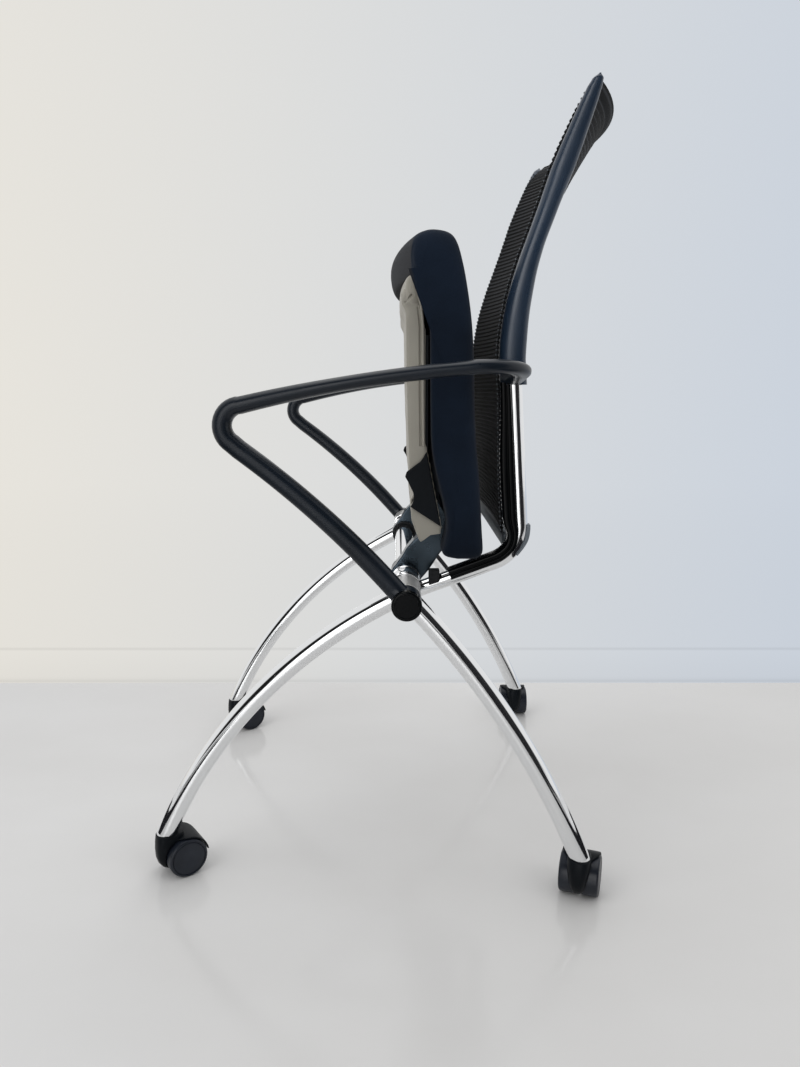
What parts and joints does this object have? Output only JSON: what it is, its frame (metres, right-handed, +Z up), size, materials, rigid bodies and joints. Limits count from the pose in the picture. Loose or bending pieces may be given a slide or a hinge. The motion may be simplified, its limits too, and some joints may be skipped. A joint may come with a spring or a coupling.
{
  "type": "nesting chair",
  "caption": "Nesting office chair: chromed tube frame on twin-wheel casters, looped armrests, flip-up padded seat and tall ribbed mesh back.",
  "frame": {"origin": "on the floor under the middle of the chair's box", "axes": "+Z up, -Y towards the front of the chair, +X towards the sitter's left"},
  "size_m": [0.6495, 0.6025, 0.985],
  "materials": {
    "chrome": "polished",
    "satin_grey": "satin",
    "dark_steel": "gloss",
    "rubber_black": "matte",
    "gloss_black": "gloss",
    "matt_black": "satin",
    "pad_grey": "satin",
    "rail_grey": "satin",
    "mesh_black": "matte",
    "shell_grey": "satin",
    "fabric_navy": "matte",
    "wheel_black": "satin"
  },
  "bodies": {
    "frame": {"cross_tube": "chrome", "frame_collar_left": "chrome", "frame_collar_right": "chrome", "front_leg_left": "chrome", "front_leg_right": "chrome", "rear_leg_left": "chrome", "rear_leg_right": "chrome", "back_tube_left": "chrome", "back_tube_right": "chrome", "hub_sleeve_left": "satin_grey", "hub_sleeve_right": "satin_grey", "seat_bracket_left": "dark_steel", "seat_bracket_right": "dark_steel", "pivot_pin_left": "dark_steel", "pivot_pin_right": "dark_steel", "bracket_bush_left": "rubber_black", "bracket_bush_right": "rubber_black", "seat_stop_left": "rubber_black", "seat_stop_right": "rubber_black", "hub_cap_left": "gloss_black", "hub_cap_right": "gloss_black", "back_channel_left": "gloss_black", "back_channel_right": "gloss_black", "armrest_left": "matt_black", "armrest_right": "matt_black", "back_rail_left": "matt_black", "back_rail_right": "matt_black", "rear_pad_left": "pad_grey", "rear_pad_right": "pad_grey", "back_bottom_rail": "rail_grey", "back_mesh": "mesh_black"},
    "seat": {"seat_cushion": "fabric_navy", "seat_shell": "shell_grey", "seat_board": "matt_black", "seat_fork_left": "dark_steel", "seat_fork_right": "dark_steel", "side_cover_left": "matt_black", "side_cover_right": "matt_black"},
    "caster_front_left": {"caster_front_left_stem": "dark_steel", "caster_front_left_hood": "matt_black", "caster_front_left_axle": "dark_steel"},
    "wheel_front_left_a": {"caster_front_left_wheel_a": "wheel_black"},
    "wheel_front_left_b": {"caster_front_left_wheel_b": "wheel_black"},
    "caster_rear_left": {"caster_rear_left_stem": "dark_steel", "caster_rear_left_hood": "matt_black", "caster_rear_left_axle": "dark_steel"},
    "wheel_rear_left_a": {"caster_rear_left_wheel_a": "wheel_black"},
    "wheel_rear_left_b": {"caster_rear_left_wheel_b": "wheel_black"},
    "caster_front_right": {"caster_front_right_stem": "dark_steel", "caster_front_right_hood": "matt_black", "caster_front_right_axle": "dark_steel"},
    "wheel_front_right_a": {"caster_front_right_wheel_a": "wheel_black"},
    "wheel_front_right_b": {"caster_front_right_wheel_b": "wheel_black"},
    "caster_rear_right": {"caster_rear_right_stem": "dark_steel", "caster_rear_right_hood": "matt_black", "caster_rear_right_axle": "dark_steel"},
    "wheel_rear_right_a": {"caster_rear_right_wheel_a": "wheel_black"},
    "wheel_rear_right_b": {"caster_rear_right_wheel_b": "wheel_black"}
  },
  "joints": [
    {"name": "seat_flip", "type": "hinge", "parent": "frame", "child": "seat", "pos_m": [0, 0.084, 0.446], "axis": [1, 0, 0], "range_deg": [0, 88]},
    {"name": "swivel_front_left", "type": "hinge", "parent": "frame", "child": "caster_front_left", "pos_m": [0.228, -0.279, 0.058], "axis": [0, 0, 1], "continuous": true},
    {"name": "spin_front_left_a", "type": "hinge", "parent": "caster_front_left", "child": "wheel_front_left_a", "pos_m": [0.21683, -0.26363, 0.0255], "axis": [-0.809, -0.5878, 0], "continuous": true},
    {"name": "spin_front_left_b", "type": "hinge", "parent": "caster_front_left", "child": "wheel_front_left_b", "pos_m": [0.21683, -0.26363, 0.0255], "axis": [-0.809, -0.5878, 0], "continuous": true},
    {"name": "swivel_rear_left", "type": "hinge", "parent": "frame", "child": "caster_rear_left", "pos_m": [0.284, 0.246, 0.058], "axis": [0, 0, 1], "continuous": true},
    {"name": "spin_rear_left_a", "type": "hinge", "parent": "caster_rear_left", "child": "wheel_rear_left_a", "pos_m": [0.26615, 0.2525, 0.0255], "axis": [-0.342, -0.9397, 0], "continuous": true},
    {"name": "spin_rear_left_b", "type": "hinge", "parent": "caster_rear_left", "child": "wheel_rear_left_b", "pos_m": [0.26615, 0.2525, 0.0255], "axis": [-0.342, -0.9397, 0], "continuous": true},
    {"name": "swivel_front_right", "type": "hinge", "parent": "frame", "child": "caster_front_right", "pos_m": [-0.228, -0.279, 0.058], "axis": [0, 0, 1], "continuous": true},
    {"name": "spin_front_right_a", "type": "hinge", "parent": "caster_front_right", "child": "wheel_front_right_a", "pos_m": [-0.23943, -0.26383, 0.0255], "axis": [-0.7986, -0.6018, 0], "continuous": true},
    {"name": "spin_front_right_b", "type": "hinge", "parent": "caster_front_right", "child": "wheel_front_right_b", "pos_m": [-0.23943, -0.26383, 0.0255], "axis": [-0.7986, -0.6018, 0], "continuous": true},
    {"name": "swivel_rear_right", "type": "hinge", "parent": "frame", "child": "caster_rear_right", "pos_m": [-0.284, 0.246, 0.058], "axis": [0, 0, 1], "continuous": true},
    {"name": "spin_rear_right_a", "type": "hinge", "parent": "caster_rear_right", "child": "wheel_rear_right_a", "pos_m": [-0.303, 0.246, 0.0255], "axis": [0, -1, 0], "continuous": true},
    {"name": "spin_rear_right_b", "type": "hinge", "parent": "caster_rear_right", "child": "wheel_rear_right_b", "pos_m": [-0.303, 0.246, 0.0255], "axis": [0, -1, 0], "continuous": true}
  ]
}
